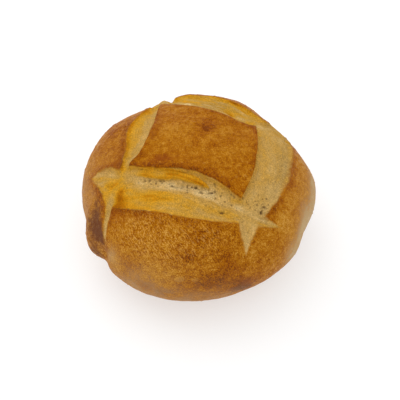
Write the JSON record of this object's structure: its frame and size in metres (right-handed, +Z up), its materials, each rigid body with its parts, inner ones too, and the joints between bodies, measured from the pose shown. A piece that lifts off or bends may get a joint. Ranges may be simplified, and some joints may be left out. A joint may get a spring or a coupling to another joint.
{
  "type": "sourdough boule",
  "caption": "Round rustic loaf with a domed golden-brown crust, a flat base and a square of crossing score cuts opened across its crown.",
  "frame": {"origin": "centre of the loaf's outline at the flat base", "axes": "+Z up, -Y the loaf's front, towards which the widest and deepest cut faces, +X the loaf's right seen from the front"},
  "size_m": [0.1906, 0.1892, 0.1069],
  "materials": {
    "crust": "baked golden-brown crust, matte with a faint sheen"
  },
  "bodies": {
    "root": {"boule": "crust"}
  },
  "joints": []
}
